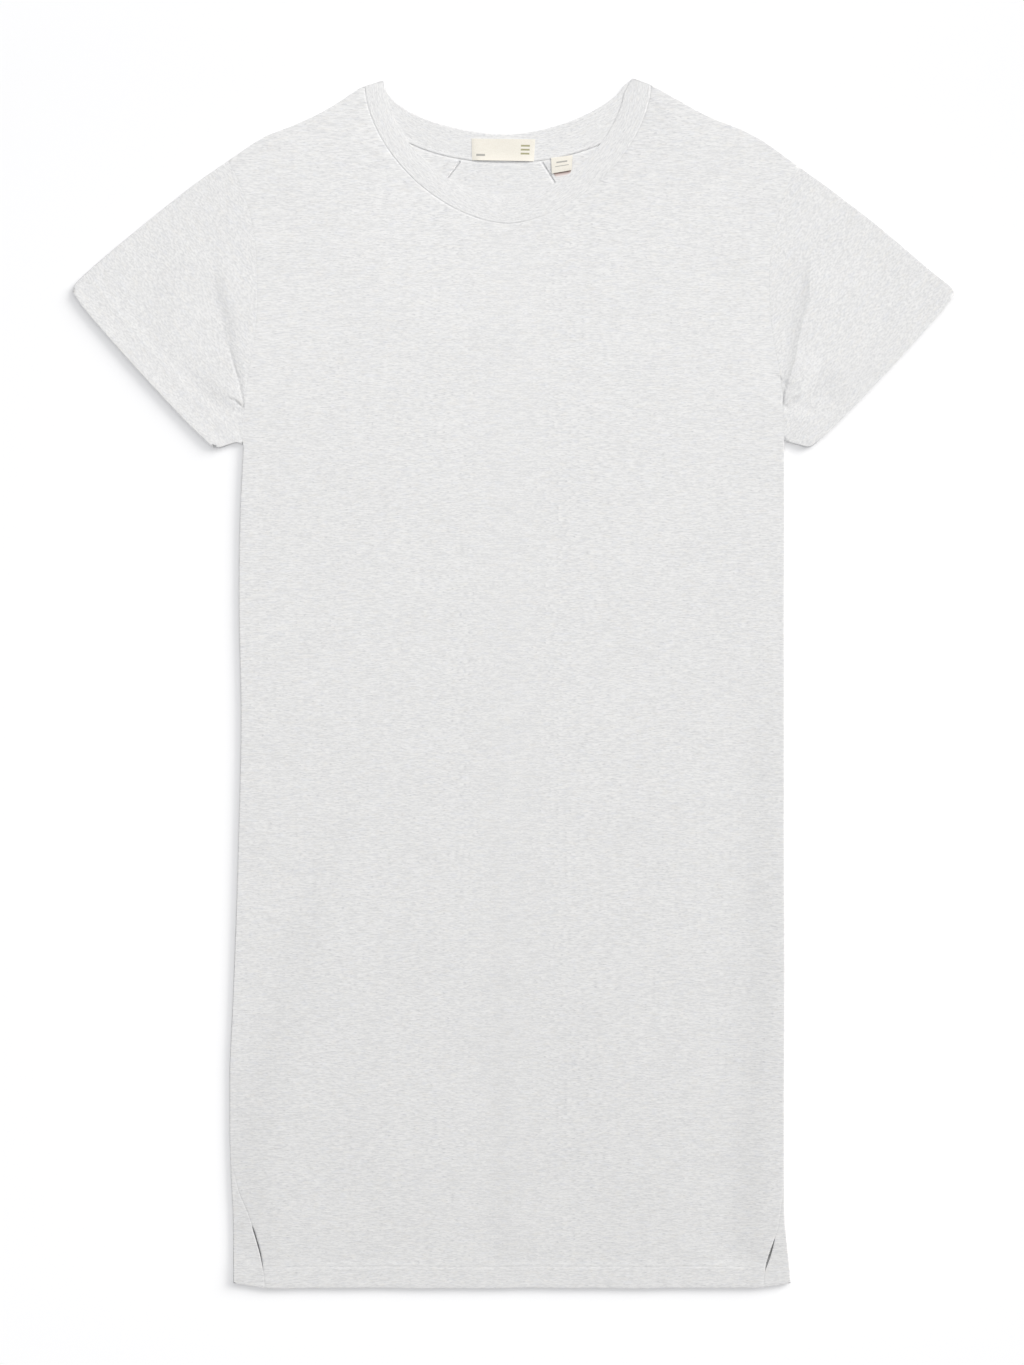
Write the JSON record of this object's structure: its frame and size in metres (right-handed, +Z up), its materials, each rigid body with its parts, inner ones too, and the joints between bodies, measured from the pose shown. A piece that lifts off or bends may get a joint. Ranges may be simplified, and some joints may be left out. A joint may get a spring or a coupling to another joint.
{
  "type": "t-shirt dress",
  "caption": "Short-sleeved crew-neck jersey dress lying flat on its back, with a self neckband, side vents at the hem and plain neck labels.",
  "frame": {"origin": "middle of the underside, on the surface the dress lies on", "axes": "+X towards the wearer's left sleeve, +Y from the hem to the neck, +Z up out of the dress's front"},
  "size_m": [0.6709, 0.9196, 0.0058],
  "materials": {
    "jersey": "matte off-white heather cotton jersey",
    "label_tape": "smooth cream woven tape"
  },
  "bodies": {
    "root": {"front": "jersey", "back": "jersey", "sleeve_right": "jersey", "sleeve_left": "jersey", "neckband": "jersey", "dart_right": "jersey", "dart_left": "jersey", "main_label": "label_tape", "size_label": "label_tape"}
  },
  "joints": []
}
